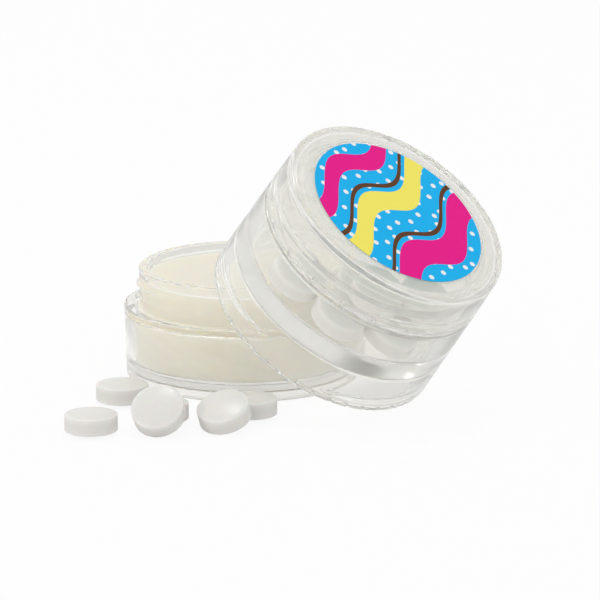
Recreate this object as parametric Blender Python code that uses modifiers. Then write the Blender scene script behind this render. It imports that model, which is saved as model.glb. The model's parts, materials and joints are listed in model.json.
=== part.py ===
"""Double stacked jar of clear plastic, opened: a base jar filled with lip balm, an upper jar of
pressed mints with its screw lid on, leaning on the base jar, and six mints spilled in front.

Metres, +Z up, +X to the right and -Y towards the viewer. The sizes and places below count from the
middle of the base jar's underside, and at the end the whole set is shifted so that the origin lies
under its middle, on the surface that it stands on. The upper jar is modelled upright in its own
frame, from the lower edge of its skirt upwards, and an empty leans it over.
"""

import math

import bmesh
import bpy
from mathutils import Matrix, Vector

MM = 0.001

# Facets
TURN_STEPS = 48
MINT_STEPS = 20
FILLET_STEPS = 2
MERGE_DISTANCE = 0.001 * MM

# Clearances
SEAT_GAP = 0.3 * MM  # between pieces that touch
CUT_OVERRUN = 0.5 * MM  # how far a cutter reaches past what it cuts

# Screw neck, the same on both jars, so that the lid and the upper jar's skirt fit either
NECK_HEIGHT = 5.95 * MM
NECK_WALL = 1.1 * MM
SKIRT_WALL = 1.55 * MM  # round the socket that goes over a neck
FLANGE_HEIGHT = 1.3 * MM
FLANGE_FILLET = 0.45 * MM

# Threads: round beads, right-handed, in two starts
THREAD_LEAD = 5.0 * MM
THREAD_STARTS = 2
THREAD_START_ANGLE = math.radians(36)
BEAD_FADE = 0.07  # of a turn over which a bead fades in and out
BEAD_END_SHARE = 0.35  # a bead's section at its very end, as a share of the full one
NECK_BEAD_RADIUS = 0.5 * MM
NECK_BEAD_HEIGHT = 0.65 * MM  # of the crest over the neck
NECK_BEAD_FOOT = 1.2 * MM  # of the bead's first centre over the shoulder
NECK_BEAD_DROP = 0.7 * MM  # of the bead's last centre under the flange
SOCKET_BEAD_RADIUS = 0.4 * MM
SOCKET_BEAD_FOOT = 1.3 * MM
SOCKET_BEAD_TURN = 0.4
THREAD_ENGAGEMENT = 0.17 * MM  # radial overlap of the two threads
THREAD_CLEARANCE = 0.4 * MM  # from the neck's crests to the socket's wall
FLANGE_CLEARANCE = 0.25 * MM  # from the socket's crests to the neck's flange

# Base jar
JAR_RADIUS = 19.0 * MM  # where the two jars meet
BASE_TAPER = 0.3 * MM
BASE_FOOT_FILLET = 0.5 * MM
BASE_SHOULDER_HEIGHT = 11.4 * MM
BASE_WALL = 1.7 * MM
BASE_FLOOR_THICKNESS = 1.1 * MM
SHOULDER_THICKNESS = 1.3 * MM
SHOULDER_FILLET = 0.3 * MM
CAVITY_FILLET = 1.0 * MM
CEILING_FILLET = 0.4 * MM
FOOT_RECESS_DEPTH = 1.3 * MM
FOOT_RING_WIDTH = 2.4 * MM

# Lip balm
BALM_BELOW_RIM = 1.55 * MM
BALM_DISH = 0.25 * MM
BALM_DISH_SHARE = 0.7

# Upper jar
UPPER_TAPER = 0.38 * MM
UPPER_WALL = 2.25 * MM
UPPER_FLOOR_THICKNESS = 2.6 * MM
UPPER_STORE_HEIGHT = 7.5 * MM  # from its floor to its shoulder
SKIRT_EDGE_FILLET = 0.25 * MM
SOCKET_FILLET = 0.6 * MM
MOUTH_FILLET = 0.4 * MM  # of the socket's inner lower edge

# Lid
LID_TOP_THICKNESS = 1.2 * MM
LID_TAPER = 0.3 * MM
LID_TOP_FILLET = 0.6 * MM
LID_EDGE_FILLET = 0.25 * MM

# Label, in a shallow seat in the lid's top
LID_RIM_WIDTH = 3.62 * MM  # of the lid's top round that seat
LABEL_THICKNESS = 0.15 * MM
LABEL_PROUD = 0.05 * MM
LABEL_MARGIN = 0.35 * MM

# Notches in the lower edges of the skirt and the lid
NOTCH_WIDTH = 0.35 * MM
NOTCH_DEPTH = 0.45 * MM
SKIRT_NOTCHES = 40
LID_NOTCHES = 20

# Mints
MINT_RADIUS = 4.0 * MM
MINT_BAND = 2.4 * MM
MINT_DOME = 0.55 * MM
MINT_CLEARANCE = 0.45 * MM  # from a mint to the wall beside it
DOME_SHOULDER_SHARE = 0.6  # where a dome's middle ring of points lies on the mint's radius

# How the upper jar leans: its tilt from upright, the way it leans and how far to the side of the
# base jar's middle it stands
LEAN_TILT = math.radians(37.6)
LEAN_DIRECTION = math.radians(-39.9)
LEAN_ASIDE = 0.73 * MM

# Spilled mints that lie flat: how far out from the base jar's wall, in mint radii, and which way
FLAT_MINT_SHARES = {
    "mint_spilled_1": (5.72, math.radians(-122.6)),
    "mint_spilled_2": (1.8, math.radians(-135.4)),
    "mint_spilled_3": (3.085, math.radians(-112.75)),
    "mint_spilled_5": (1.83, math.radians(-87.3)),
}

# Spilled mints that lean back on a flat one: which one, how far to the side of it in mint radii, and
# the direction that the face looks. The first is tipped up steeply, and the second only has its lower
# back edge on top of its neighbour.
STEEP_TILT = math.radians(40.6)
RESTING_TILT = math.asin((MINT_BAND + MINT_DOME + SEAT_GAP) / (2 * MINT_RADIUS))
LEANING_MINT_SHARES = {
    "mint_spilled_4": ("mint_spilled_3", 0.38, STEEP_TILT, math.radians(-106)),
    "mint_spilled_6": ("mint_spilled_5", -0.03, RESTING_TILT, math.radians(-118)),
}

# Mints in the upper jar: rows in from the wall, places round it from the jar's lowest side, both
# counted in mints, and the layer
INNER_MINT_SHARES = {
    "mint_inside_1": (0, -2.44, 0),
    "mint_inside_2": (0, -1.42, 0),
    "mint_inside_3": (0, -0.38, 0),
    "mint_inside_4": (1, -0.9, 0),
    "mint_inside_5": (0, 0.67, 0),
    "mint_inside_6": (0.26, -0.81, 1),
    "mint_inside_7": (0, 0.3, 1),
}

# Derived sizes
SOCKET_RADIUS = JAR_RADIUS - SKIRT_WALL
NECK_CREST = SOCKET_RADIUS - THREAD_CLEARANCE
NECK_RADIUS = NECK_CREST - NECK_BEAD_HEIGHT
NECK_BORE_RADIUS = NECK_RADIUS - NECK_WALL
SOCKET_CREST = NECK_CREST - THREAD_ENGAGEMENT
FLANGE_RADIUS = SOCKET_CREST - FLANGE_CLEARANCE
SOCKET_DEPTH = NECK_HEIGHT + SEAT_GAP
THREAD_PITCH = THREAD_LEAD / THREAD_STARTS
NECK_BEAD_RISE = NECK_HEIGHT - FLANGE_HEIGHT - NECK_BEAD_FOOT - NECK_BEAD_DROP
NECK_BEAD_TURN = NECK_BEAD_RISE / THREAD_LEAD
BASE_FLOOR_TOP = FOOT_RECESS_DEPTH + BASE_FLOOR_THICKNESS
BASE_CAVITY_RADIUS = JAR_RADIUS - BASE_WALL
BASE_RIM = BASE_SHOULDER_HEIGHT + NECK_HEIGHT
UPPER_RADIUS = JAR_RADIUS - UPPER_TAPER
UPPER_CAVITY_RADIUS = UPPER_RADIUS - UPPER_WALL
UPPER_FLOOR_TOP = SOCKET_DEPTH + UPPER_FLOOR_THICKNESS
UPPER_SHOULDER_HEIGHT = UPPER_FLOOR_TOP + UPPER_STORE_HEIGHT
LID_FOOT = UPPER_SHOULDER_HEIGHT + SEAT_GAP
LID_TOP = LID_FOOT + SOCKET_DEPTH + LID_TOP_THICKNESS
LID_TOP_RADIUS = UPPER_RADIUS - LID_TAPER
LABEL_SEAT_DEPTH = SEAT_GAP + LABEL_THICKNESS - LABEL_PROUD
LABEL_SEAT_RADIUS = LID_TOP_RADIUS - LID_RIM_WIDTH
LABEL_RADIUS = LABEL_SEAT_RADIUS - LABEL_MARGIN
SKIRT_EDGE_RADIUS = JAR_RADIUS - SKIRT_EDGE_FILLET
LEAN_HEIGHT = SKIRT_EDGE_RADIUS * math.sin(LEAN_TILT) + SKIRT_EDGE_FILLET * (1 - math.cos(LEAN_TILT))
MINT_THICKNESS = MINT_BAND + 2 * MINT_DOME
MINT_PITCH = 2 * MINT_RADIUS + SEAT_GAP


# Scene helpers


def clear_scene():
    for obj in list(bpy.data.objects):
        bpy.data.objects.remove(obj, do_unlink=True)


def new_collection(name):
    collection = bpy.data.collections.new(name)
    bpy.context.scene.collection.children.link(collection)
    return collection


def new_material(name, colour, roughness, alpha=1.0, transmission=0.0):
    material = bpy.data.materials.new(name)
    material.use_nodes = True
    shader = material.node_tree.nodes["Principled BSDF"]
    shader.inputs["Base Color"].default_value = (*colour, 1.0)
    shader.inputs["Roughness"].default_value = roughness
    shader.inputs["Metallic"].default_value = 0.0
    shader.inputs["Alpha"].default_value = alpha
    shader.inputs["Transmission Weight"].default_value = transmission
    return material


def link_object(name, data, collection, parent=None, location=(0, 0, 0)):
    obj = bpy.data.objects.new(name, data)
    collection.objects.link(obj)
    obj.parent = parent
    obj.location = location
    return obj


def make_guide(obj):
    """Marks a cutter, or a shape that is only joined to another."""
    obj.hide_render = True
    obj.display_type = "WIRE"


def boolean(obj, other, operation):
    modifier = obj.modifiers.new(operation.title(), "BOOLEAN")
    modifier.operation = operation
    modifier.solver = "EXACT"
    modifier.object = other


# Turned shapes


def fillet_points(before, corner, after, radius):
    """The points of the arc that rounds a corner of an outline."""
    corner, before, after = Vector(corner), Vector(before), Vector(after)
    back, ahead = (before - corner).normalized(), (after - corner).normalized()
    half = back.angle(ahead) / 2
    reach = radius / math.tan(half)
    centre = corner + (back + ahead).normalized() * (radius / math.sin(half))
    start, end = corner + back * reach - centre, corner + ahead * reach - centre
    sweep = -start.angle_signed(end)
    turns = [Matrix.Rotation(sweep * step / FILLET_STEPS, 2) for step in range(FILLET_STEPS + 1)]
    return [centre + turn_by @ start for turn_by in turns]


def outline(corners):
    """Turns (radius, height) and (radius, height, fillet) corners into the points of a profile."""
    points = []
    for index, corner in enumerate(corners):
        if len(corner) == 3:
            before, after = corners[index - 1][:2], corners[index + 1][:2]
            points += fillet_points(before, corner[:2], after, corner[2])
        else:
            points.append(Vector(corner))
    return points


def turned_mesh(name, points, material):
    """A profile in the XZ plane, for a Screw modifier to turn about Z."""
    mesh = bpy.data.meshes.new(name)
    vertices = [(point[0], 0, point[1]) for point in points]
    edges = [(index, index + 1) for index in range(len(points) - 1)]
    mesh.from_pydata(vertices, edges, [])
    mesh.materials.append(material)
    return mesh


def turn(obj, steps):
    screw = obj.modifiers.new("Turn", "SCREW")
    screw.axis = "Z"
    screw.steps = steps
    screw.render_steps = steps
    screw.use_merge_vertices = True
    screw.merge_threshold = MERGE_DISTANCE
    screw.use_smooth_shade = True


def turned_piece(name, corners, material, collection, parent, location=(0, 0, 0)):
    piece = link_object(name, turned_mesh(name, outline(corners), material), collection, parent, location)
    turn(piece, TURN_STEPS)
    return piece


# Threads and notches


def helix_spline(curve, centre_radius, foot, start_angle, turns):
    """One bead's centre line, whose section fades in and out at its ends."""
    spline = curve.splines.new("POLY")
    count = round(turns * TURN_STEPS)
    spline.points.add(count)
    for index, point in enumerate(spline.points):
        done = turns * index / count
        angle = start_angle + math.tau * done
        height = foot + THREAD_LEAD * done
        point.co = (centre_radius * math.cos(angle), centre_radius * math.sin(angle), height, 1)
        fade = min(1, done / BEAD_FADE, (turns - done) / BEAD_FADE)
        point.radius = BEAD_END_SHARE + (1 - BEAD_END_SHARE) * math.sin(fade * math.pi / 2)


def mesh_from_curve(name, curve, collection, parent):
    """The curve's tubes as a closed mesh, with their caps welded on."""
    wire = link_object(name, curve, collection, parent)
    bpy.context.view_layer.update()
    evaluated = wire.evaluated_get(bpy.context.evaluated_depsgraph_get())
    mesh = bpy.data.meshes.new_from_object(evaluated)
    work = bmesh.new()
    work.from_mesh(mesh)
    bmesh.ops.remove_doubles(work, verts=work.verts, dist=MERGE_DISTANCE)
    bmesh.ops.recalc_face_normals(work, faces=work.faces)
    work.to_mesh(mesh)
    work.free()
    solid = link_object(name, mesh, collection, parent)
    solid.matrix_world = wire.matrix_world
    bpy.data.objects.remove(wire, do_unlink=True)
    return solid


def thread_beads(name, centre_radius, bead_radius, foot, start_angle, turns, collection, parent):
    """The starts of one thread as helical beads, to be joined to a wall."""
    curve = bpy.data.curves.new(name, "CURVE")
    curve.dimensions = "3D"
    curve.bevel_depth = bead_radius
    curve.bevel_resolution = 2
    curve.use_fill_caps = True
    for start in range(THREAD_STARTS):
        helix_spline(curve, centre_radius, foot, start_angle + math.tau * start / THREAD_STARTS, turns)
    beads = mesh_from_curve(name, curve, collection, parent)
    make_guide(beads)
    return beads


def neck_threads(name, shoulder, collection, parent):
    """The beads on a neck whose shoulder lies at the height given."""
    centre = NECK_CREST - NECK_BEAD_RADIUS
    foot = shoulder + NECK_BEAD_FOOT
    return thread_beads(
        name, centre, NECK_BEAD_RADIUS, foot, THREAD_START_ANGLE, NECK_BEAD_TURN, collection, parent
    )


def socket_threads(name, shoulder, collection, parent):
    """The beads in a socket, midway between those of the neck that it is screwed down on."""
    centre = SOCKET_CREST + SOCKET_BEAD_RADIUS
    rise = SOCKET_BEAD_FOOT - (NECK_BEAD_FOOT - THREAD_PITCH / 2)
    angle = THREAD_START_ANGLE + math.tau * rise / THREAD_LEAD
    foot = shoulder + SOCKET_BEAD_FOOT
    return thread_beads(
        name, centre, SOCKET_BEAD_RADIUS, foot, angle, SOCKET_BEAD_TURN, collection, parent
    )


def edge_notches(name, count, edge_radius, edge_height, collection, parent):
    """Cutters for the radial notches across a lower edge, at the height given."""
    mesh = bpy.data.meshes.new(name)
    work = bmesh.new()
    inner, outer = SOCKET_RADIUS - CUT_OVERRUN, edge_radius + CUT_OVERRUN
    size = (outer - inner, NOTCH_WIDTH, NOTCH_DEPTH + CUT_OVERRUN, 1)
    height = edge_height + (NOTCH_DEPTH - CUT_OVERRUN) / 2
    place = Matrix.Translation(((inner + outer) / 2, 0, height)) @ Matrix.Diagonal(size)
    for index in range(count):
        around = Matrix.Rotation(math.tau * (index + 0.5) / count, 4, "Z")
        bmesh.ops.create_cube(work, size=1, matrix=around @ place)
    work.to_mesh(mesh)
    work.free()
    cutter = link_object(name, mesh, collection, parent)
    make_guide(cutter)
    return cutter


# What the jars and the lid share


def jar_inside(floor, shoulder, radius):
    """From the middle of a jar's floor, out along it and up its inside to the rim."""
    ceiling = shoulder - SHOULDER_THICKNESS
    return [
        (0, floor),
        (radius, floor, CAVITY_FILLET),
        (radius, ceiling, CEILING_FILLET),
        (NECK_BORE_RADIUS, ceiling),
        (NECK_BORE_RADIUS, shoulder + NECK_HEIGHT),
    ]


def neck_outside(shoulder):
    """From the rim, round the flange and down the neck to the shoulder."""
    rim = shoulder + NECK_HEIGHT
    return [
        (FLANGE_RADIUS, rim, FLANGE_FILLET),
        (FLANGE_RADIUS, rim - FLANGE_HEIGHT),
        (NECK_RADIUS, rim - FLANGE_HEIGHT - (FLANGE_RADIUS - NECK_RADIUS)),
        (NECK_RADIUS, shoulder),
    ]


def socket(edge):
    """From the lower edge of the skirt or the lid, up inside to the middle of the socket's end."""
    return [
        (SOCKET_RADIUS, edge, MOUTH_FILLET),
        (SOCKET_RADIUS, edge + SOCKET_DEPTH, SOCKET_FILLET),
        (0, edge + SOCKET_DEPTH),
    ]


# The pieces


def make_base_jar(parts, guides, material, root):
    foot_radius = JAR_RADIUS - BASE_TAPER
    recess_radius = foot_radius - FOOT_RING_WIDTH
    corners = jar_inside(BASE_FLOOR_TOP, BASE_SHOULDER_HEIGHT, BASE_CAVITY_RADIUS)
    corners += neck_outside(BASE_SHOULDER_HEIGHT)
    corners += [
        (JAR_RADIUS, BASE_SHOULDER_HEIGHT, SHOULDER_FILLET),
        (foot_radius, 0, BASE_FOOT_FILLET),
        (recess_radius, 0),
        (recess_radius, FOOT_RECESS_DEPTH),
        (0, FOOT_RECESS_DEPTH),
    ]
    jar = turned_piece("base_jar", corners, material, parts, root)
    boolean(jar, neck_threads("base_neck_threads", BASE_SHOULDER_HEIGHT, guides, root), "UNION")


def make_balm(parts, material, root):
    """The balm fills the base jar to just under its rim, with a slightly dished top."""
    top = BASE_RIM - BALM_BELOW_RIM
    body, neck = BASE_CAVITY_RADIUS - SEAT_GAP, NECK_BORE_RADIUS - SEAT_GAP
    ceiling = BASE_SHOULDER_HEIGHT - SHOULDER_THICKNESS - SEAT_GAP
    floor = BASE_FLOOR_TOP + SEAT_GAP
    corners = [
        (0, top - BALM_DISH),
        (neck * BALM_DISH_SHARE, top - BALM_DISH / 2),
        (neck, top),
        (neck, ceiling),
        (body, ceiling, CEILING_FILLET),
        (body, floor, CAVITY_FILLET),
        (0, floor),
    ]
    turned_piece("lip_balm", corners, material, parts, root)


def make_upper_jar(parts, guides, material, frame):
    corners = jar_inside(UPPER_FLOOR_TOP, UPPER_SHOULDER_HEIGHT, UPPER_CAVITY_RADIUS)
    corners += neck_outside(UPPER_SHOULDER_HEIGHT)
    corners += [
        (UPPER_RADIUS, UPPER_SHOULDER_HEIGHT, SHOULDER_FILLET),
        (JAR_RADIUS, 0, SKIRT_EDGE_FILLET),
    ]
    corners += socket(0)
    jar = turned_piece("upper_jar", corners, material, parts, frame)
    boolean(jar, neck_threads("upper_neck_threads", UPPER_SHOULDER_HEIGHT, guides, frame), "UNION")
    boolean(jar, socket_threads("skirt_threads", -SEAT_GAP, guides, frame), "UNION")
    notches = edge_notches("skirt_notches", SKIRT_NOTCHES, JAR_RADIUS, 0, guides, frame)
    boolean(jar, notches, "DIFFERENCE")


def make_lid(parts, guides, material, frame):
    """The lid goes over the upper jar's neck, down to just above its shoulder."""
    corners = [
        (0, LID_TOP - LABEL_SEAT_DEPTH),
        (LABEL_SEAT_RADIUS, LID_TOP - LABEL_SEAT_DEPTH),
        (LABEL_SEAT_RADIUS, LID_TOP),
        (LID_TOP_RADIUS, LID_TOP, LID_TOP_FILLET),
        (UPPER_RADIUS, LID_FOOT, LID_EDGE_FILLET),
    ]
    corners += socket(LID_FOOT)
    lid = turned_piece("lid", corners, material, parts, frame)
    boolean(lid, socket_threads("lid_threads", UPPER_SHOULDER_HEIGHT, guides, frame), "UNION")
    notches = edge_notches("lid_notches", LID_NOTCHES, UPPER_RADIUS, LID_FOOT, guides, frame)
    boolean(lid, notches, "DIFFERENCE")


def make_label(parts, material, frame):
    bpy.ops.mesh.primitive_cylinder_add(vertices=TURN_STEPS, radius=LABEL_RADIUS, depth=LABEL_THICKNESS)
    label = bpy.context.active_object
    label.name = "label"
    for collection in list(label.users_collection):
        collection.objects.unlink(label)
    parts.objects.link(label)
    label.parent = frame
    label.location = (0, 0, LID_TOP + LABEL_PROUD - LABEL_THICKNESS / 2)
    label.data.materials.append(material)


def mint_points():
    """The outline of a pressed mint: an upright band between two shallow domes."""
    half = MINT_BAND / 2
    shoulder = MINT_RADIUS * DOME_SHOULDER_SHARE
    rise = MINT_DOME * (1 - DOME_SHOULDER_SHARE**2)
    upper = [(0, half + MINT_DOME), (shoulder, half + rise), (MINT_RADIUS, half)]
    return upper + [(radius, -height) for radius, height in reversed(upper)]


def rest_height(tilt):
    """Height of a mint's centre when it lies on the table, on its dome or on the edge of its band."""
    if tilt == 0:
        return MINT_THICKNESS / 2
    return MINT_RADIUS * math.sin(tilt) + MINT_BAND / 2 * math.cos(tilt)


def lean_distance(tilt):
    """How far a leaning mint's centre lies from that of the flat one behind it. Either its lower back
    edge lies over the flat one's edge, or its underside does."""
    back_edge = MINT_RADIUS * math.cos(tilt) + MINT_BAND / 2 * math.sin(tilt)
    drop = rest_height(tilt) - MINT_DOME - MINT_BAND
    underside = (SEAT_GAP + MINT_THICKNESS / 2 - drop * math.cos(tilt)) / math.sin(tilt)
    return MINT_RADIUS + min(back_edge, underside)


def make_mint(name, mesh, parts, parent, location, tilt=0, facing=0):
    mint = link_object(name, mesh, parts, parent, location)
    mint.rotation_euler = (0, tilt, facing)
    turn(mint, MINT_STEPS)
    return mint


def inner_mint_place(rows_in, places_round, layer):
    """A mint's centre in the upper jar. The lower layer keeps clear of the jar's wall and the upper
    one, which reaches into the neck, of the neck's bore."""
    wall = UPPER_CAVITY_RADIUS if layer == 0 else NECK_BORE_RADIUS
    ring = wall - MINT_CLEARANCE - MINT_RADIUS
    place_angle = 2 * math.asin(MINT_PITCH / 2 / ring)
    out, angle = ring - rows_in * MINT_PITCH, places_round * place_angle
    lowest = UPPER_FLOOR_TOP + SEAT_GAP + MINT_THICKNESS / 2
    height = lowest + layer * (MINT_THICKNESS + SEAT_GAP)
    return out * math.cos(angle), out * math.sin(angle), height


def make_mints(parts, material, root, frame):
    mesh = turned_mesh("mint", mint_points(), material)
    flat = {}
    for name, (radii_out, direction) in FLAT_MINT_SHARES.items():
        out = JAR_RADIUS + radii_out * MINT_RADIUS
        place = (out * math.cos(direction), out * math.sin(direction), rest_height(0))
        flat[name] = make_mint(name, mesh, parts, root, place)
    for name, (neighbour, radii_aside, tilt, facing) in LEANING_MINT_SHARES.items():
        offset = Matrix.Rotation(facing, 2) @ Vector((lean_distance(tilt), radii_aside * MINT_RADIUS))
        x, y = flat[neighbour].location.xy + offset
        make_mint(name, mesh, parts, root, (x, y, rest_height(tilt)), tilt, facing)
    for name, place in INNER_MINT_SHARES.items():
        make_mint(name, mesh, parts, frame, inner_mint_place(*place))


def lean_out():
    """How far out the leaning jar's skirt stands from the base jar's middle. It slides in until its
    mouth meets the neck's flange on one side, or the rim meets the end of its socket."""
    rise = BASE_RIM - LEAN_HEIGHT
    mouth = SOCKET_RADIUS + MOUTH_FILLET
    mouth_side = math.sqrt(mouth**2 - (rise / math.sin(LEAN_TILT)) ** 2) - LEAN_ASIDE
    flange_out = math.sqrt((FLANGE_RADIUS + SEAT_GAP) ** 2 - mouth_side**2)
    at_mouth = rise / math.tan(LEAN_TILT) + flange_out
    rim_depth = SOCKET_DEPTH - SEAT_GAP - rise * math.cos(LEAN_TILT)
    at_socket_end = FLANGE_RADIUS - rim_depth / math.sin(LEAN_TILT)
    return max(at_mouth, at_socket_end)


def make_lean_frame(collection, root):
    """The upper jar's own frame, leaned over so that its skirt's edge touches the table."""
    aside = Matrix.Rotation(LEAN_DIRECTION, 2) @ Vector((lean_out(), -LEAN_ASIDE))
    frame = link_object("upper_jar_frame", None, collection, root, (*aside, LEAN_HEIGHT))
    frame.rotation_euler = (0, LEAN_TILT, LEAN_DIRECTION)
    return frame


def centre_on_table(root, parts):
    """Shifts the whole set so that the origin lies under the middle of it."""
    bpy.context.view_layer.update()
    graph = bpy.context.evaluated_depsgraph_get()
    points = []
    for piece in parts.objects:
        if piece.type == "MESH":
            solid = piece.evaluated_get(graph)
            points += [solid.matrix_world @ vertex.co for vertex in solid.data.vertices]
    for axis in (0, 1):
        along = [point[axis] for point in points]
        root.location[axis] = -(min(along) + max(along)) / 2


def main():
    clear_scene()
    parts = new_collection("double_stacked_jar")
    guides = new_collection("guides")
    clear = new_material("clear_plastic", (0.86, 0.87, 0.86), 0.05, 0.35, 0.9)
    balm = new_material("lip_balm", (0.78, 0.75, 0.62), 0.45)
    sticker = new_material("label_print", (0.02, 0.42, 0.85), 0.35)
    candy = new_material("pressed_mint", (0.82, 0.81, 0.77), 0.5)
    root = link_object("set_frame", None, parts)
    frame = make_lean_frame(parts, root)
    make_base_jar(parts, guides, clear, root)
    make_balm(parts, balm, root)
    make_upper_jar(parts, guides, clear, frame)
    make_lid(parts, guides, clear, frame)
    make_label(parts, sticker, frame)
    make_mints(parts, candy, root, frame)
    centre_on_table(root, parts)


main()
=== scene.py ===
"""Looks of the double stacked jar: an open base jar of lip balm, and an upper jar of mints with its
lid on, leaning on the base jar, with six mints spilled in front."""

import json
import math

import bpy
import numpy as np
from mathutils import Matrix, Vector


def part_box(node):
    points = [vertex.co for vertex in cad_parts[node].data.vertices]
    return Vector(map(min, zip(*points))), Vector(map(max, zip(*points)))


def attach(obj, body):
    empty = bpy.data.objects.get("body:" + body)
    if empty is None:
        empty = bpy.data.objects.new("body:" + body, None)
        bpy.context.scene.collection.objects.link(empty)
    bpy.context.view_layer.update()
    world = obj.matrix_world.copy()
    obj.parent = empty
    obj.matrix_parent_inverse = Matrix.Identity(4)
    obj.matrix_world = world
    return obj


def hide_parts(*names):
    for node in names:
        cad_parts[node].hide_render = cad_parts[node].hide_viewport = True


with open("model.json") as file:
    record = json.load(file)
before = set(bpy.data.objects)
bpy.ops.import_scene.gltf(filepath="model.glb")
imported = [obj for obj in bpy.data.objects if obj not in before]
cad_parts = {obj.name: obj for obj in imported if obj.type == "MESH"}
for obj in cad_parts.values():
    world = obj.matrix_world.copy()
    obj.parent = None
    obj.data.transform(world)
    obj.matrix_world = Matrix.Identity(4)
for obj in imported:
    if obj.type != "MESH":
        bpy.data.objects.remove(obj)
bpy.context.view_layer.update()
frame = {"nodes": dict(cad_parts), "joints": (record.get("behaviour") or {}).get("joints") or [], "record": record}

# Where the jars stand
# The base jar stands upright. The upper jar leans, and is drawn upright in its own frame, from the
# edge of its skirt upwards, with its first axis pointing down the slope. Sizes are in millimetres.
MM = 0.001


def unit(vector):
    """A vector divided by its length."""
    return vector / np.linalg.norm(vector)


base_low, base_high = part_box("base_jar")
base_place = np.eye(4)
base_place[:2, 3] = [(base_low.x + base_high.x) / 2, (base_low.y + base_high.y) / 2]

jar_turn = next(joint for joint in frame["joints"] if joint["name"] == "jar_turn")
lean_up = -np.array(jar_turn["axis"])
lean_side = unit(np.cross([0, 0, 1], lean_up))
lean_place = np.eye(4)
lean_place[:3, 0] = np.cross(lean_side, lean_up)
lean_place[:3, 1] = lean_side
lean_place[:3, 2] = lean_up
lean_place[:3, 3] = jar_turn["pos_m"]

# Camera
# A long lens a little above the table, level from side to side and square to the front.
CAMERA_FROM_BASE = np.array([8.685, -602.671, 164.516]) * MM
CAMERA_DOWN = math.radians(14.24)
CAMERA_LENS, CAMERA_SENSOR = 236.69, 36
CAMERA_NEAREST, CAMERA_FURTHEST = 0.05, 10  # in metres

lens = bpy.data.cameras.new("camera")
lens.lens = CAMERA_LENS
lens.sensor_width = CAMERA_SENSOR
lens.clip_start = CAMERA_NEAREST
lens.clip_end = CAMERA_FURTHEST
camera = bpy.data.objects.new("camera", lens)
camera.location = base_place[:3, 3] + CAMERA_FROM_BASE
camera.rotation_euler = (math.pi / 2 - CAMERA_DOWN, 0, 0)
bpy.context.scene.collection.objects.link(camera)
bpy.context.scene.camera = camera

# Base jar
# One clear injection moulding: a heavy-walled cup with a shoulder, a screw neck in two starts, a
# flange at the rim and a recess underneath. The plastic is faintly warm through thick stretches.
COLUMNS = 360
ARC_STEPS = 6
HOLD = 0.06  # distance of the row that holds a flat beside a fillet
BEAD_ROWS = 0.09  # spacing of the rows across a thread
ROW_DECIMALS = 4  # to which two rows' distances along the outline count as one
NEAR_WALL, ON_WALL = 0.05, 0.02  # how near a wall an added row lies, and a row that carries a thread
FULL_TURN = 0.2  # an outline's turn at one row, in radians, that counts as an edge
SHARP_TURN = math.radians(35)  # a turn between two faces that isn't shaded smooth

NECK_HEIGHT, NECK_RADIUS, NECK_BORE = 5.95, 16.4, 15.3
FLANGE_RADIUS, FLANGE_HEIGHT, FLANGE_SLOPE = 16.63, 1.3, 0.3
JAR_RADIUS, BASE_FOOT_RADIUS, BASE_SHOULDER = 19.0, 18.7, 11.4
BASE_FLOOR, BASE_CEILING, BASE_CAVITY = 2.4, 10.1, 17.3
FOOT_RECESS, FOOT_RECESS_RADIUS = 1.3, 16.3
FLOOR_FILLET, CEILING_FILLET, BORE_FILLET = 1.0, 0.4, 0.25
RIM_INNER_FILLET, RIM_OUTER_FILLET, FLANGE_FILLET, SHOULDER_FILLET = 0.3, 0.4, 0.12, 0.35
FOOT_FILLET, RECESS_MOUTH_FILLET, RECESS_FILLET = 0.5, 0.25, 0.4

THREAD_LEAD = 5.0
THREAD_START = math.radians(36)
THREAD_FADE = 0.07  # the share of a turn over which a thread rises or ends
NECK_BEAD = {"foot": 1.2, "turns": 0.55, "width": 0.78, "height": 0.65}

RIPPLE_FINER, RIPPLE_DETAIL = 4.7, 2  # how much finer the second waves are, and their octaves
EDGE_LEAST, EDGE_NOISE = 0.7, 0.6  # an edge's least mask, and how much a noise of 0 to 1 adds to it
PLASTIC_COLOUR = (0.976, 0.968, 0.938, 1)
PLASTIC_POLISH = (0.02, 0.05)  # roughness from the ripples' lows to their highs
PLASTIC_EDGE = 0.1  # roughness that an edge adds
PLASTIC_SHADE = 0.02  # the share of lamps' and diffuse light that a wall holds back
PLASTIC_THICK_COLOUR, PLASTIC_THICK_DENSITY = (0.68, 0.68, 0.62, 1), 4


def rounded_profile(corners):
    """The (radius, height) rows of an outline. Each (radius, height, fillet) corner becomes an arc
    that touches both its sides, with one more row on each side to hold the straight stretch flat."""
    corners = np.array(corners, float)
    rows = [corners[:1, :2]]
    for before, (*corner, fillet), after in zip(corners[:-2, :2], corners[1:-1], corners[2:, :2]):
        back, ahead = unit(before - corner), unit(after - corner)
        half = math.acos(np.clip(back @ ahead, -1, 1)) / 2
        reach, bend = fillet / math.tan(half), math.pi - 2 * half
        centre = corner + unit(back + ahead) * fillet / math.sin(half)
        start, end = corner + back * reach - centre, corner + ahead * reach - centre
        share = np.linspace(0, 1, ARC_STEPS + 1)[:, None]
        arc = centre + (np.sin((1 - share) * bend) * start + np.sin(share * bend) * end) / math.sin(bend)
        rows += [arc[:1] + back * HOLD, arc, arc[-1:] + ahead * HOLD]
    rows.append(corners[-1:, :2])
    return np.concatenate(rows)


def on_wall(rows, wall, low, high, tolerance=ON_WALL):
    """True for each row within the tolerance of a wall's radius, between two heights."""
    radius, height = rows[:, :1], rows[:, 1:]
    return (abs(radius - wall) < tolerance) & (height > low) & (height < high)


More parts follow.
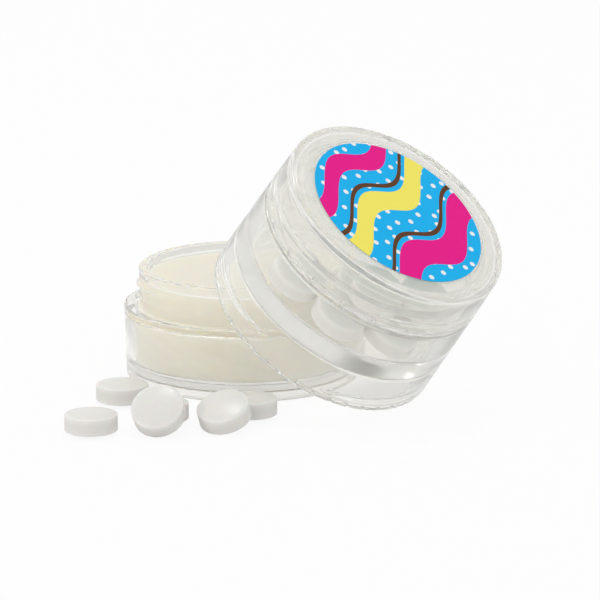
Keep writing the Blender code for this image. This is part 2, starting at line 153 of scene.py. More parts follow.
def refined(rows, wall, low, high):
    """The same outline with more rows on the wall at a radius, between two heights: even steps of
    distance along the outline are added to the distances of its own rows."""
    along = np.concatenate([[0], np.cumsum(np.linalg.norm(np.diff(rows, axis=0), axis=1))])

    def rows_at(distances):
        """The rows at these distances, straight between the outline's own."""
        return np.stack([np.interp(distances, along, rows[:, axis]) for axis in (0, 1)], axis=1)

    steps = np.arange(0, along[-1], BEAD_ROWS)
    added = steps[on_wall(rows_at(steps), wall, low, high, NEAR_WALL)[:, 0]]
    return rows_at(np.unique(np.round(np.concatenate([along, added]), ROW_DECIMALS)))


def turned(rows, columns):
    """An outline at equal angles round its axis: radius and height by row and column, and the angles."""
    angle = np.arange(columns) * math.tau / columns
    return rows[:, :1] + 0 * angle, rows[:, 1:] + 0 * angle, angle


def bead_height(height, angle, shoulder, bead, start):
    """How far a thread's two beads stand out of the wall. Each bead's middle rises with the angle by
    the lead in one turn, its section is a squared cosine of the distance from that middle, and it
    fades in and out along a sine at its two ends."""
    stand = np.zeros(height.shape)
    for half_turn in (0, 0.5):
        done = ((angle - start) / math.tau - half_turn) % 1
        middle = shoulder + bead["foot"] + THREAD_LEAD * done
        from_end = np.minimum(done, bead["turns"] - done)
        fade = np.sin(np.clip(from_end / THREAD_FADE, 0, 1) * math.pi / 2)
        across = np.clip(abs(height - middle) / bead["width"], 0, 1)
        stand = np.maximum(stand, bead["height"] * fade * np.cos(across * math.pi / 2) ** 2)
    return stand


def edge_share(radius, height):
    """How far each row but the first and last lies on an edge: the outline's turn there, from 0 at
    none to 1 at FULL_TURN and more."""
    along = np.stack([np.diff(radius, axis=0), np.diff(height, axis=0)])
    along /= np.maximum(np.linalg.norm(along, axis=0), 1e-9)
    turn = np.arccos(np.clip((along[:, 1:] * along[:, :-1]).sum(axis=0), -1, 1))
    return np.clip(turn / FULL_TURN, 0, 1)


def revolved(name, radius, height, angle, place, material):
    """A closed piece on a grid of rows and columns: a point lies at its row's radius and height,
    turned by its column's angle. The first and last rows lie on the axis and become one point each."""
    rows, columns = radius.shape
    x, y = radius * np.cos(angle), radius * np.sin(angle)
    points = np.stack([x, y, height], axis=-1)[1:-1].reshape(-1, 3)
    poles = np.array([[0, 0, height[0, 0]], [0, 0, height[-1, 0]]])
    points = np.concatenate([points, poles]) * MM
    points = points @ place[:3, :3].T + place[:3, 3]
    grid = np.arange((rows - 2) * columns).reshape(rows - 2, columns)
    beside = np.roll(grid, -1, axis=1)
    quads = np.stack([grid[:-1], grid[1:], beside[1:], beside[:-1]], axis=-1).reshape(-1, 4)
    first, last = len(points) - 2, len(points) - 1
    start_fan = np.stack([np.full(columns, first), grid[0], beside[0]], axis=-1)
    end_fan = np.stack([grid[-1], np.full(columns, last), beside[-1]], axis=-1)
    mesh = bpy.data.meshes.new(name)
    mesh.from_pydata(points.tolist(), [], quads.tolist() + start_fan.tolist() + end_fan.tolist())
    edge = mesh.attributes.new("edge", "FLOAT", "POINT")
    edge.data.foreach_set("value", np.append(edge_share(radius, height).ravel(), [0, 0]))
    mesh.validate()
    corners = points[quads]
    facing = np.cross(corners[:, 2] - corners[:, 0], corners[:, 3] - corners[:, 1])
    outward = corners.mean(axis=1) - points.mean(axis=0)
    if (facing * outward).sum() < 0:
        mesh.flip_normals()
    mesh.shade_smooth()
    mesh.set_sharp_from_angle(angle=SHARP_TURN)
    mesh.materials.append(material)
    piece = bpy.data.objects.new(name, mesh)
    bpy.context.scene.collection.objects.link(piece)
    return piece


def neck_outside(shoulder):
    """Corners from the rim, round the flange and down the neck to its foot."""
    rim = shoulder + NECK_HEIGHT
    return [
        (FLANGE_RADIUS, rim, RIM_OUTER_FILLET),
        (FLANGE_RADIUS, rim - FLANGE_HEIGHT, FLANGE_FILLET),
        (NECK_RADIUS, rim - FLANGE_HEIGHT - FLANGE_SLOPE, FLANGE_FILLET),
        (NECK_RADIUS, shoulder, SHOULDER_FILLET),
    ]


def jar_inside(floor, ceiling, cavity, rim):
    """Corners from the middle of the floor, out and up the inside to the rim."""
    return [
        (0, floor, 0),
        (cavity, floor, FLOOR_FILLET),
        (cavity, ceiling, CEILING_FILLET),
        (NECK_BORE, ceiling, BORE_FILLET),
        (NECK_BORE, rim, RIM_INNER_FILLET),
    ]


def link(tree, source, target):
    """A link from a node's output to another node's input."""
    tree.links.new(source, target)


def math_node(tree, operation, *values):
    """A Math node whose inputs are sockets or plain numbers."""
    node = tree.nodes.new("ShaderNodeMath")
    node.operation = operation
    for socket, value in zip(node.inputs, values):
        if isinstance(value, (int, float)):
            socket.default_value = value
        else:
            link(tree, value, socket)
    return node.outputs["Value"]


def ramp(tree, source, low, high, start=0.0, end=1.0):
    """A source's stretch from start to end, laid straight on low to high and held there beyond it."""
    node = tree.nodes.new("ShaderNodeMapRange")
    limits = {"From Min": start, "From Max": end, "To Min": low, "To Max": high}
    for socket, value in limits.items():
        node.inputs[socket].default_value = value
    link(tree, source, node.inputs["Value"])
    return node.outputs["Result"]


def ray_kinds(tree):
    """The outputs of a Light Path node: each is 1 for its own kind of ray, and else 0."""
    return tree.nodes.new("ShaderNodeLightPath").outputs


def new_group(name, inputs, output):
    """An empty node group with these float inputs and their values, and one float output."""
    group = bpy.data.node_groups.new(name, "ShaderNodeTree")
    for socket, value in inputs.items():
        made = group.interface.new_socket(socket, in_out="INPUT", socket_type="NodeSocketFloat")
        made.default_value = value
    group.interface.new_socket(output, in_out="OUTPUT", socket_type="NodeSocketFloat")
    return group, group.nodes.new("NodeGroupInput"), group.nodes.new("NodeGroupOutput")


def add_group(tree, name, **values):
    """A group's one output, from a node of that group with these values on its inputs."""
    node = tree.nodes.new("ShaderNodeGroup")
    node.node_tree = bpy.data.node_groups[name]
    for socket, value in values.items():
        node.inputs[socket.replace("_", " ").capitalize()].default_value = value
    return node.outputs[0]


def make_ripple_group():
    """Slow waves of noise blended with finer ones by the fine share, as a height from about 0 to 1."""
    group, given, result = new_group("ripples", {"Scale": 100, "Fine share": 0.3}, "Height")
    place = group.nodes.new("ShaderNodeTexCoord").outputs["Object"]
    scale = given.outputs["Scale"]
    blend = group.nodes.new("ShaderNodeMix")
    link(group, given.outputs["Fine share"], blend.inputs["Factor"])
    for side, pitch in (("A", scale), ("B", math_node(group, "MULTIPLY", scale, RIPPLE_FINER))):
        wave = group.nodes.new("ShaderNodeTexNoise")
        wave.inputs["Detail"].default_value = RIPPLE_DETAIL
        link(group, pitch, wave.inputs["Scale"])
        link(group, place, wave.inputs["Vector"])
        link(group, wave.outputs["Fac"], blend.inputs[side])
    link(group, blend.outputs["Result"], result.inputs["Height"])


def make_edge_group():
    """A mask of the edges and threads, which comes and goes along them with a fine noise."""
    group, given, result = new_group("edges", {"Scale": 300, "Share": 1.0}, "Mask")
    edge = group.nodes.new("ShaderNodeAttribute")
    edge.attribute_name = "edge"
    place = group.nodes.new("ShaderNodeTexCoord")
    noise = group.nodes.new("ShaderNodeTexNoise")
    link(group, place.outputs["Object"], noise.inputs["Vector"])
    link(group, given.outputs["Scale"], noise.inputs["Scale"])
    uneven = math_node(group, "MULTIPLY_ADD", noise.outputs["Fac"], EDGE_NOISE, EDGE_LEAST)
    wanted = math_node(group, "MULTIPLY", uneven, given.outputs["Share"])
    link(group, math_node(group, "MULTIPLY", edge.outputs["Fac"], wanted), result.inputs["Mask"])


def new_material(name, **sockets):
    """A material with its Principled shader's plain sockets set, and the tree and shader to add to."""
    material = bpy.data.materials.new(name)
    material.use_nodes = True
    tree = material.node_tree
    shader = tree.nodes["Principled BSDF"]
    for socket, value in sockets.items():
        shader.inputs[socket.replace("_", " ")].default_value = value
    return material, tree, shader


def add_ripples(tree, shader, scale, fine_share, depth):
    """Ripples of this depth as a bump on the shader. Gives their height, from 0 to 1."""
    height = add_group(tree, "ripples", scale=scale, fine_share=fine_share)
    bump = tree.nodes.new("ShaderNodeBump")
    bump.inputs["Distance"].default_value = depth
    link(tree, height, bump.inputs["Height"])
    link(tree, bump.outputs["Normal"], shader.inputs["Normal"])
    return height


def make_clear_plastic():
    """Polished clear plastic, a little matt on the edges and threads. It lets most of the lamps' light
    through to what it holds, and thick stretches take on a faint warm tint."""
    material, tree, shader = new_material(
        "clear_plastic",
        Base_Color=PLASTIC_COLOUR,
        IOR=1.57,
        Transmission_Weight=0.89,
    )
    ripples = add_ripples(tree, shader, scale=40, fine_share=0.1, depth=0.012 * MM)
    matt = add_group(tree, "edges", scale=600, share=PLASTIC_EDGE)
    roughness = math_node(tree, "ADD", ramp(tree, ripples, *PLASTIC_POLISH), matt)
    link(tree, roughness, shader.inputs["Roughness"])
    rays = ray_kinds(tree)
    passing = math_node(tree, "MAXIMUM", rays["Is Shadow Ray"], rays["Is Diffuse Ray"])
    link(tree, ramp(tree, passing, 1.0, PLASTIC_SHADE), shader.inputs["Alpha"])
    inside = tree.nodes.new("ShaderNodeVolumeAbsorption")
    inside.inputs["Color"].default_value = PLASTIC_THICK_COLOUR
    inside.inputs["Density"].default_value = PLASTIC_THICK_DENSITY
    link(tree, inside.outputs["Volume"], tree.nodes["Material Output"].inputs["Volume"])
    return material


make_ripple_group()
make_edge_group()
clear_plastic = make_clear_plastic()

base_rim = BASE_SHOULDER + NECK_HEIGHT
base_rows = rounded_profile(
    jar_inside(BASE_FLOOR, BASE_CEILING, BASE_CAVITY, base_rim)
    + neck_outside(BASE_SHOULDER)
    + [
        (JAR_RADIUS, BASE_SHOULDER, SHOULDER_FILLET),
        (BASE_FOOT_RADIUS, 0, FOOT_FILLET),
        (FOOT_RECESS_RADIUS, 0, RECESS_MOUTH_FILLET),
        (FOOT_RECESS_RADIUS, FOOT_RECESS, RECESS_FILLET),
        (0, FOOT_RECESS, 0),
    ]
)
base_rows = refined(base_rows, NECK_RADIUS, BASE_SHOULDER, base_rim)
radius, height, angle = turned(base_rows, COLUMNS)
on_neck = on_wall(base_rows, NECK_RADIUS, BASE_SHOULDER, base_rim)
radius += on_neck * bead_height(height, angle, BASE_SHOULDER, NECK_BEAD, THREAD_START)
base_jar = revolved("base_jar_clear", radius, height, angle, base_place, clear_plastic)
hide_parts("base_jar")
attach(base_jar, "base")

# Lip balm
# Poured warm into the base jar and set: cream-coloured wax with a dished top. It sticks to the neck and
# under the shoulder, and has shrunk a little off the side wall, so that its edge there is uneven.
BALM_TOP, BALM_DISH, BALM_RISE = 15.8, 0.25, 1.2  # the dish's depth, and its rise's width at the wall
BALM_STUCK = 0.01  # how far the balm reaches into the plastic where it sticks, so that no air lies there
BALM_BODY, BALM_NECK, BALM_CEILING = 17.2, NECK_BORE + BALM_STUCK, BASE_CEILING + BALM_STUCK
BALM_GAP, BALM_FOOT = 0.12, 1  # its gap over the jar's floor, and how high the side's even rows start
BALM_RISE_FILLET, BALM_TOP_FILLET, BALM_NECK_FILLET = 4, 0.1, 0.24
BALM_CEILING_FILLET, BALM_FOOT_FILLET = 0.4, 0.9
BALM_SHRUNK, BALM_UNEVEN = 0.2, 0.1
BALM_WAVES = ((3, 0.9, 0), (7, -1.7, 1), (17, 2.9, 0))  # waves round, radians a millimetre up, start
BALM_COLOUR = (0.83, 0.795, 0.675, 1)


def make_balm_material():
    """Satin wax that light enters a few millimetres deep, red the deepest, with fine ripples on it."""
    material, tree, shader = new_material(
        "lip_balm",
        Base_Color=BALM_COLOUR,
        Roughness=0.42,
        IOR=1.45,
        Subsurface_Weight=0.8,
        Subsurface_Radius=(1.0, 0.8, 0.5),
        Subsurface_Scale=5 * MM,
    )
    add_ripples(tree, shader, scale=220, fine_share=0.5, depth=0.06 * MM)
    return material


def unevenness(angle, height, size):
    """A slow uneven wave round and up a wall: the mean of three sines, from -size to size."""
    wave = sum(np.sin(around * angle + up * height + start) for around, up, start in BALM_WAVES)
    return size * wave / len(BALM_WAVES)


balm_rows = rounded_profile(
    [
        (0, BALM_TOP - BALM_DISH, 0),
        (BALM_NECK - BALM_RISE, BALM_TOP - BALM_DISH / 2, BALM_RISE_FILLET),
        (BALM_NECK, BALM_TOP, BALM_TOP_FILLET),
        (BALM_NECK, BALM_CEILING, BALM_NECK_FILLET),
        (BALM_BODY, BALM_CEILING, BALM_CEILING_FILLET),
        (BALM_BODY, BASE_FLOOR + BALM_GAP, BALM_FOOT_FILLET),
        (0, BASE_FLOOR + BALM_GAP, 0),
    ]
)
balm_rows = refined(balm_rows, BALM_BODY, BASE_FLOOR + BALM_FOOT, BASE_CEILING)
radius, height, angle = turned(balm_rows, COLUMNS)
on_body = np.clip((radius - BALM_NECK) / (BALM_BODY - BALM_NECK), 0, 1)
radius -= on_body * (BALM_SHRUNK + unevenness(angle, height, BALM_UNEVEN))
balm = revolved("lip_balm_wax", radius, height, angle, base_place, make_balm_material())
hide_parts("lip_balm")
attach(balm, "base")

# Upper jar
# The same clear plastic: a shallower cup with a thick floor, the same neck on top, and below the floor
# a skirt threaded inside to screw on to the base jar. Forty fine notches cross the skirt's edge.
SKIRT_COLUMNS = 400
SOCKET_RADIUS, SOCKET_DEPTH = 17.45, 6.25
UPPER_RADIUS, UPPER_CAVITY, UPPER_FLOOR, UPPER_SHOULDER = 18.62, 16.37, 8.85, 16.35
SHOULDER_WALL = 1.3
SOCKET_FILLET, MOUTH_FILLET, SKIRT_EDGE_FILLET = 0.6, 0.4, 0.25

SEAT_GAP = 0.3  # between a screwed-on skirt's edge and the shoulder under it
SOCKET_BEAD = {"foot": 1.3, "turns": 0.4, "width": 0.65, "height": 0.57}
GAP_UNDER_BEAD = NECK_BEAD["foot"] - THREAD_LEAD / 4  # the middle of the gap that a socket's bead runs in
SOCKET_START = THREAD_START + math.tau * (SOCKET_BEAD["foot"] - GAP_UNDER_BEAD) / THREAD_LEAD
SKIRT_THREAD_LOW, SKIRT_THREAD_HIGH = 0.5, 4.5
SKIRT_NOTCHES, SKIRT_NOTCH_DEPTH = 40, 0.3


def notched(height, edge, notches, depth):
    """The heights with a skirt's lower edge raised to the notches' depth in one column at each notch,
    which makes a V-shaped notch as wide as two columns."""
    step = height.shape[1] // notches
    raised = height.copy()
    raised[:, step // 2 :: step] = np.maximum(height[:, step // 2 :: step], edge + depth)
    return raised


def socket_inside(edge):
    """Corners from the lower edge, up the inside to the middle of the socket's end."""
    return [
        (SOCKET_RADIUS, edge, MOUTH_FILLET),
        (SOCKET_RADIUS, edge + SOCKET_DEPTH, SOCKET_FILLET),
        (0, edge + SOCKET_DEPTH, 0),
    ]


upper_rim = UPPER_SHOULDER + NECK_HEIGHT
upper_rows = rounded_profile(
    jar_inside(UPPER_FLOOR, UPPER_SHOULDER - SHOULDER_WALL, UPPER_CAVITY, upper_rim)
    + neck_outside(UPPER_SHOULDER)
    + [(UPPER_RADIUS, UPPER_SHOULDER, SHOULDER_FILLET), (JAR_RADIUS, 0, SKIRT_EDGE_FILLET)]
    + socket_inside(0)
)
upper_rows = refined(upper_rows, NECK_RADIUS, UPPER_SHOULDER, upper_rim)
upper_rows = refined(upper_rows, SOCKET_RADIUS, SKIRT_THREAD_LOW, SKIRT_THREAD_HIGH)
radius, height, angle = turned(upper_rows, SKIRT_COLUMNS)
on_neck = on_wall(upper_rows, NECK_RADIUS, UPPER_SHOULDER, upper_rim)
on_socket = on_wall(upper_rows, SOCKET_RADIUS, 0, SOCKET_DEPTH)
radius += on_neck * bead_height(height, angle, UPPER_SHOULDER, NECK_BEAD, THREAD_START)
radius -= on_socket * bead_height(height, angle, -SEAT_GAP, SOCKET_BEAD, SOCKET_START)
height = notched(height, 0, SKIRT_NOTCHES, SKIRT_NOTCH_DEPTH)
upper_jar = revolved("upper_jar_clear", radius, height, angle, lean_place, clear_plastic)
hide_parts("upper_jar")
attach(upper_jar, "upper_jar")

# Lid
# A clear screw cap over the upper jar's neck, with twenty fine notches in its edge, a thread inside
# and a shallow round seat for the label in its top.
LID_FOOT, LID_HEIGHT, LID_TOP_RADIUS = 16.65, 7.45, 18.32
LABEL_SEAT_RADIUS, LABEL_SEAT_DEPTH = 14.7, 0.4
LID_TOP_FILLET, LABEL_SEAT_FILLET = 0.6, 0.12
LID_THREAD_LOW, LID_THREAD_HIGH = LID_FOOT + 0.4, LID_FOOT + 4.4
LID_NOTCHES, LID_NOTCH_DEPTH = 20, 0.55

lid_top = LID_FOOT + LID_HEIGHT
lid_rows = rounded_profile(
    [
        (0, lid_top - LABEL_SEAT_DEPTH, 0),
        (LABEL_SEAT_RADIUS, lid_top - LABEL_SEAT_DEPTH, LABEL_SEAT_FILLET),
        (LABEL_SEAT_RADIUS, lid_top, LABEL_SEAT_FILLET),
        (LID_TOP_RADIUS, lid_top, LID_TOP_FILLET),
        (UPPER_RADIUS, LID_FOOT, SKIRT_EDGE_FILLET),
    ]
    + socket_inside(LID_FOOT)
)
lid_rows = refined(lid_rows, SOCKET_RADIUS, LID_THREAD_LOW, LID_THREAD_HIGH)
radius, height, angle = turned(lid_rows, SKIRT_COLUMNS)
on_socket = on_wall(lid_rows, SOCKET_RADIUS, LID_FOOT, LID_FOOT + SOCKET_DEPTH)
radius -= on_socket * bead_height(height, angle, UPPER_SHOULDER, SOCKET_BEAD, SOCKET_START)
height = notched(height, LID_FOOT, LID_NOTCHES, LID_NOTCH_DEPTH)
lid = revolved("lid_clear", radius, height, angle, lean_place, clear_plastic)
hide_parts("lid")
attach(lid, "lid")

# Label
# A round printed sticker in the lid's seat, with a generic print: slanting magenta and yellow waves and
# thin brown ones that run from edge to edge of a blue ground, with round white dots between them.
LABEL_COLUMNS = 192
LABEL_RADIUS, LABEL_THICKNESS, LABEL_TOP, LABEL_FILLET = 14.35, 0.15, 24.15, 0.04
BACK_ASIDE = 4  # how far the pale back lies from the print on its chart, in radii of the label

BLUE, MAGENTA, YELLOW = (0.0, 0.46, 0.9, 1), (0.84, 0.0, 0.262, 1), (0.94, 0.84, 0.13, 1)
BROWN, WHITE, PALE_BACK = (0.112, 0.040, 0.010, 1), (0.9, 0.9, 0.9, 1), (0.42, 0.6, 0.56, 1)
DOT_SCALE, DOT_DISORDER, DOT_RADIUS = 5.5, 0.45, 0.17  # dots along a radius; a dot's own, in spacings
WAVE_SLANT, WAVE_SWING, WAVE_PITCH = -0.35, 0.13, 5.2
WAVES = (
    (-0.78, -0.42, MAGENTA),
    (-0.36, -0.30, BROWN),
    (0.02, 0.30, YELLOW),
    (0.36, 0.42, BROWN),
    (0.62, 0.86, MAGENTA),
)


def between(tree, value, low, high):
    """1 where a value lies between two limits, and else 0."""
    above = math_node(tree, "GREATER_THAN", value, low)
    below = math_node(tree, "LESS_THAN", value, high)
    return math_node(tree, "MULTIPLY", above, below)


def painted(tree, ground, colour, mask):
    """A colour laid over a ground, which is a colour or a socket, as far as the mask says."""
    blend = tree.nodes.new("ShaderNodeMix")
    blend.data_type = "RGBA"
    under, over = (socket for socket in blend.inputs if socket.type == "RGBA")
    link(tree, mask, blend.inputs["Factor"])
    if isinstance(ground, tuple):
        under.default_value = ground
    else:
        link(tree, ground, under)
    over.default_value = colour
    return next(socket for socket in blend.outputs if socket.type == "RGBA")


def make_label_material():
    """A satin print on a chart of its own. A dot covers the ground within its radius of a point of an
    uneven grid. A wave covers it where the height, plus a slant and a sine of the way across, lies
    between the wave's two limits. The back, aside on the chart, is plain."""
    material, tree, shader = new_material("label_print", Roughness=0.4, Specular_IOR_Level=0.1)
    print_chart = tree.nodes.new("ShaderNodeUVMap")
    print_chart.uv_map = "print"
    axes = tree.nodes.new("ShaderNodeSeparateXYZ")
    link(tree, print_chart.outputs["UV"], axes.inputs["Vector"])
    across, up = axes.outputs["X"], axes.outputs["Y"]
    slant = math_node(tree, "MULTIPLY_ADD", across, WAVE_SLANT, up)
    swing = math_node(tree, "SINE", math_node(tree, "MULTIPLY", across, WAVE_PITCH))
    level = math_node(tree, "MULTIPLY_ADD", swing, WAVE_SWING, slant)
    dots = tree.nodes.new("ShaderNodeTexVoronoi")
    dots.voronoi_dimensions = "2D"
    dots.inputs["Scale"].default_value = DOT_SCALE
    dots.inputs["Randomness"].default_value = DOT_DISORDER
    link(tree, print_chart.outputs["UV"], dots.inputs["Vector"])
    on_dot = math_node(tree, "LESS_THAN", dots.outputs["Distance"], DOT_RADIUS)
    colour = painted(tree, BLUE, WHITE, on_dot)
    for low, high, ink in WAVES:
        colour = painted(tree, colour, ink, between(tree, level, low, high))
    on_back = math_node(tree, "GREATER_THAN", across, BACK_ASIDE / 2)
    link(tree, painted(tree, colour, PALE_BACK, on_back), shader.inputs["Base Color"])
    return material


label_rows = rounded_profile(
    [
        (0, LABEL_TOP, 0),
        (LABEL_RADIUS, LABEL_TOP, LABEL_FILLET),
        (LABEL_RADIUS, LABEL_TOP - LABEL_THICKNESS, LABEL_FILLET),
        (0, LABEL_TOP - LABEL_THICKNESS, 0),
    ]
)
label_print = make_label_material()
label = revolved("label_sticker", *turned(label_rows, LABEL_COLUMNS), lean_place, label_print)
vertices = np.array([vertex.co for vertex in label.data.vertices])
local = (vertices - lean_place[:3, 3]) @ lean_place[:3, :3] / (LABEL_RADIUS * MM)
on_chart = np.stack([local[:, 1], -local[:, 0]], axis=1)
on_chart[:, 0] += BACK_ASIDE * (local[:, 2] < (LABEL_TOP - LABEL_THICKNESS / 2) / LABEL_RADIUS)
corner_vertex = np.zeros(len(label.data.loops), np.int32)
label.data.loops.foreach_get("vertex_index", corner_vertex)
chart = label.data.uv_layers.new(name="print")
chart.data.foreach_set("uv", on_chart[corner_vertex].ravel())
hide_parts("label")
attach(label, "lid")

# Mints
# Small pressed tablets of chalky white sugar: an upright band between two shallow domes, with crisp
# edges that carry a painted highlight. Six lie on the table and seven in the upper jar.
MINT_COLUMNS = 96
MINT_RADIUS, MINT_BAND, MINT_DOME = 4.0, 2.4, 0.55
DOME_ROWS, DOME_INSET = 9, 0.12  # rows of a dome, and how far in from the band the last one lies
EDGE_ROWS, EDGE_RADIUS, EDGE_START = 4, 0.1, 0.15  # rows and radius of the edge, and where its turn starts
BAND_ROWS = (0.4, 0)  # heights over the band's middle
# the sugar's white, and the whiter colour of a painted highlight along the edges
MINT_WHITE, MINT_EDGE_HIGHLIGHT = (0.78, 0.765, 0.725, 1), (0.87, 0.86, 0.83, 1)


def make_mint_material():
    """Pressed sugar with a little light in it, grainy all over, and painted whiter along the edges as a highlight.
    """
    material, tree, shader = new_material(
        "pressed_mint",
        Roughness=0.27,
        IOR=1.45,
        Subsurface_Weight=0.15,
        Subsurface_Scale=0.5 * MM,
    )
    add_ripples(tree, shader, scale=900, fine_share=0.6, depth=0.05 * MM)
    # painted highlight: a whiter colour laid along every edge, the same whatever the light
    edge_highlight = add_group(tree, "edges", scale=1500, share=0.7)
    link(tree, painted(tree, MINT_WHITE, MINT_EDGE_HIGHLIGHT, edge_highlight), shader.inputs["Base Color"])
    return material


def node_place(node):
    """A mint's own frame: its centre, and its axis as the direction in which its solid is thinnest."""
    points = np.array([vertex.co for vertex in frame["nodes"][node].data.vertices])
    low, high = (np.array(corner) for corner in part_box(node))
    centre = (low + high) / 2
    axes = np.linalg.svd(points - centre, full_matrices=False)[2]
    place = np.eye(4)
    place[:3, 2] = axes[2] * (1 if axes[2][2] > 0 else -1)
    place[:3, 0] = axes[0]
    place[:3, 1] = np.cross(place[:3, 2], axes[0])
    place[:3, 3] = centre
    return place


def mint_rows():
    """The rows of a circular dome, a small round edge, the band, and the same again below."""
    sphere = (MINT_RADIUS**2 + MINT_DOME**2) / (2 * MINT_DOME)
    out = np.linspace(0, 1, DOME_ROWS) * (MINT_RADIUS - DOME_INSET)
    dome = np.stack([out, MINT_BAND / 2 + MINT_DOME - sphere + np.sqrt(sphere**2 - out**2)], axis=1)
    turn = np.linspace(EDGE_START, 1, EDGE_ROWS)[:, None] * math.pi / 2
    edge_centre = np.array([MINT_RADIUS, MINT_BAND / 2]) - EDGE_RADIUS
    edge = edge_centre + EDGE_RADIUS * np.hstack([np.sin(turn), np.cos(turn)])
    band = np.array([[MINT_RADIUS, row] for row in BAND_ROWS])
    upper = np.concatenate([dome, edge, band])
    return np.concatenate([upper, (upper * [1, -1])[-2::-1]])


pressed_mint = make_mint_material()
mint_grid = turned(mint_rows(), MINT_COLUMNS)
for body, nodes in frame["record"]["behaviour"]["bodies"].items():
    for node in nodes:
        if node.startswith("mint_"):
            mint = revolved(node + "_tablet", *mint_grid, node_place(node), pressed_mint)
            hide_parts(node)
            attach(mint, body)

# Floor
# A plain white sweep. The camera sees it nearly white, and the object's shadow still shows on it faintly.
# Rays that mirror or pass through the plastic see a painted pool of light round a point just behind the
# base jar, dimmer further out. Sizes from here on are in metres.
FLOOR_SIZE, FLOOR_BELOW = 3.0, 0.02 * MM
FLOOR_COLOUR = (0.9, 0.9, 0.9, 1)
# the centre of a painted pool of light, just behind the base jar
FLOOR_POOL_CENTRE = base_place[:3, 3] + [-0.003, 0.013, 0]
# a painted pool of light for seen rays: strong within the near distance, falling to the far strength beyond
FLOOR_POOL_NEAR, FLOOR_POOL_FAR = (0.026, 0.97), (0.033, 0.74)  # distance from there, and strength for seen rays
FLOOR_SHOW = 0.9  # how much of the floor's white is its own, for the camera and clear or glossy pieces


def seen_rays(tree):
    """1 for rays from the camera and for those that were mirrored or passed through something."""
    rays = ray_kinds(tree)
    seen = math_node(tree, "MAXIMUM", rays["Is Camera Ray"], rays["Is Glossy Ray"])
    return math_node(tree, "MAXIMUM", seen, rays["Is Transmission Ray"])


def vector_node(tree, operation, source, vector):
    """A Vector Math node that makes a number out of a socket and a fixed vector."""
    node = tree.nodes.new("ShaderNodeVectorMath")
    node.operation = operation
    node.inputs[1].default_value = vector
    link(tree, source, node.inputs[0])
    return node.outputs["Value"]


def make_floor_material():
    """Matt white, mixed for seen rays with a white of its own: full for the camera, and for the others a
    painted pool of light that falls from near to far round its centre."""
    material, tree, shader = new_material("floor_white_light_pool", Base_Color=FLOOR_COLOUR, Roughness=0.9)
    place = tree.nodes.new("ShaderNodeTexCoord").outputs["Object"]
    away = vector_node(tree, "DISTANCE", place, FLOOR_POOL_CENTRE)
    (near, near_strength), (far, far_strength) = FLOOR_POOL_NEAR, FLOOR_POOL_FAR
    # painted pool of light: the white's strength falls with the distance from its centre
    strength = ramp(tree, away, near_strength, far_strength, near, far)
    strength = math_node(tree, "MAXIMUM", ray_kinds(tree)["Is Camera Ray"], strength)
    white = tree.nodes.new("ShaderNodeEmission")
    link(tree, strength, white.inputs["Strength"])
    mix = tree.nodes.new("ShaderNodeMixShader")
    link(tree, math_node(tree, "MULTIPLY", seen_rays(tree), FLOOR_SHOW), mix.inputs["Fac"])
    link(tree, shader.outputs["BSDF"], mix.inputs[1])
    link(tree, white.outputs["Emission"], mix.inputs[2])
    link(tree, mix.outputs["Shader"], tree.nodes["Material Output"].inputs["Surface"])
    return material


floor_corners = np.array([(-1, -1, 0), (1, -1, 0), (1, 1, 0), (-1, 1, 0)]) * FLOOR_SIZE / 2
floor_mesh = bpy.data.meshes.new("floor")
floor_mesh.from_pydata(floor_corners.tolist(), [], [(0, 1, 2, 3)])
floor_mesh.materials.append(make_floor_material())
floor = bpy.data.objects.new("floor", floor_mesh)
floor.location.z = -FLOOR_BELOW
bpy.context.scene.collection.objects.link(floor)

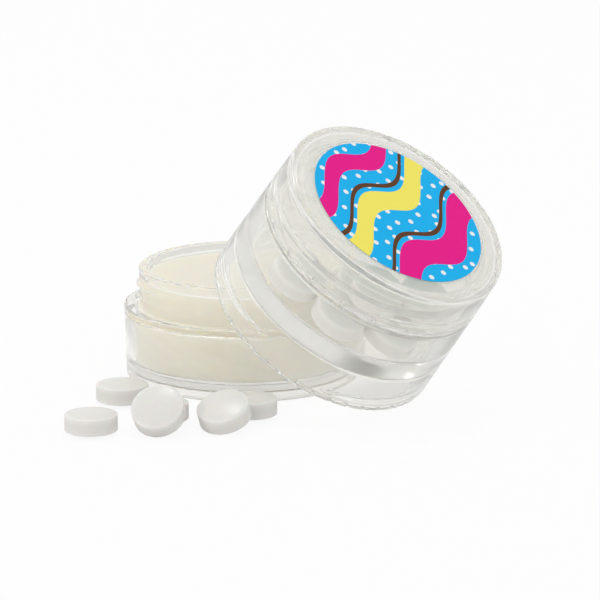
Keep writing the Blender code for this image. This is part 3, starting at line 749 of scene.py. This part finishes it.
# Lamps and sky
# Two soft lamps and an even sky. Rays that mirror or pass through the plastic see a sky that is a
# little brighter towards the back, with one dark panel in it, and the camera sees it white.
LAMP_SIZE, LAMP_AIM = 0.1, np.array([0, 0, 0.02])
SKY_LIGHT = 0.82
SKY_SEEN, SKY_SLOPE = 0.85, 0.1  # strength for seen rays from the side, and how much it rises to the back
DARK_PANEL = (0.22, 0.47, 0.855)  # the direction of the panel's middle
DARK_PANEL_INNER, DARK_PANEL_OUTER = math.radians(3), math.radians(12)  # where its soft edge starts and ends
DARK_PANEL_SHARE = 0.12  # of the sky's strength


def add_lamp(name, place, power):
    """A disc lamp that faces its aim: turned about the vertical towards it, and tilted up from straight
    down by the angle between that and the aim's direction."""
    lamp = bpy.data.lights.new(name, "AREA")
    lamp.shape = "DISK"
    lamp.size = LAMP_SIZE
    lamp.energy = power
    lit = bpy.data.objects.new(name, lamp)
    lit.location = place
    right, back, up = unit(LAMP_AIM - place)
    lit.rotation_euler = (math.acos(-up), 0, math.atan2(-right, back))
    bpy.context.scene.collection.objects.link(lit)


add_lamp("key_lamp", place=(-0.08, 0.21, 0.77), power=0.75)
add_lamp("left_lamp", place=(-0.6, -0.35, 0.4), power=0.6)

world = bpy.data.worlds.new("studio")
bpy.context.scene.world = world
world.use_nodes = True
tree = world.node_tree
direction = tree.nodes.new("ShaderNodeTexCoord").outputs["Generated"]
axes = tree.nodes.new("ShaderNodeSeparateXYZ")
link(tree, direction, axes.inputs["Vector"])
level = math_node(tree, "MULTIPLY_ADD", axes.outputs["Y"], SKY_SLOPE, SKY_SEEN)
toward = vector_node(tree, "DOT_PRODUCT", direction, DARK_PANEL)
panel_limits = math.cos(DARK_PANEL_OUTER), math.cos(DARK_PANEL_INNER)
level = math_node(tree, "MULTIPLY", level, ramp(tree, toward, 1.0, DARK_PANEL_SHARE, *panel_limits))
level = math_node(tree, "MAXIMUM", level, ray_kinds(tree)["Is Camera Ray"])
blend = tree.nodes.new("ShaderNodeMix")
blend.inputs["A"].default_value = SKY_LIGHT
link(tree, level, blend.inputs["B"])
link(tree, seen_rays(tree), blend.inputs["Factor"])
sky = tree.nodes["Background"]
sky.inputs["Color"].default_value = (1, 1, 1, 1)
link(tree, blend.outputs["Result"], sky.inputs["Strength"])

bpy.context.scene.view_settings.view_transform = "Standard"

# Light passes many walls of clear plastic and mirrors inside them before it comes out.
light_paths = bpy.context.scene.cycles
light_paths.max_bounces = 32
light_paths.glossy_bounces = 24
light_paths.transmission_bounces = 32
light_paths.transparent_max_bounces = 32
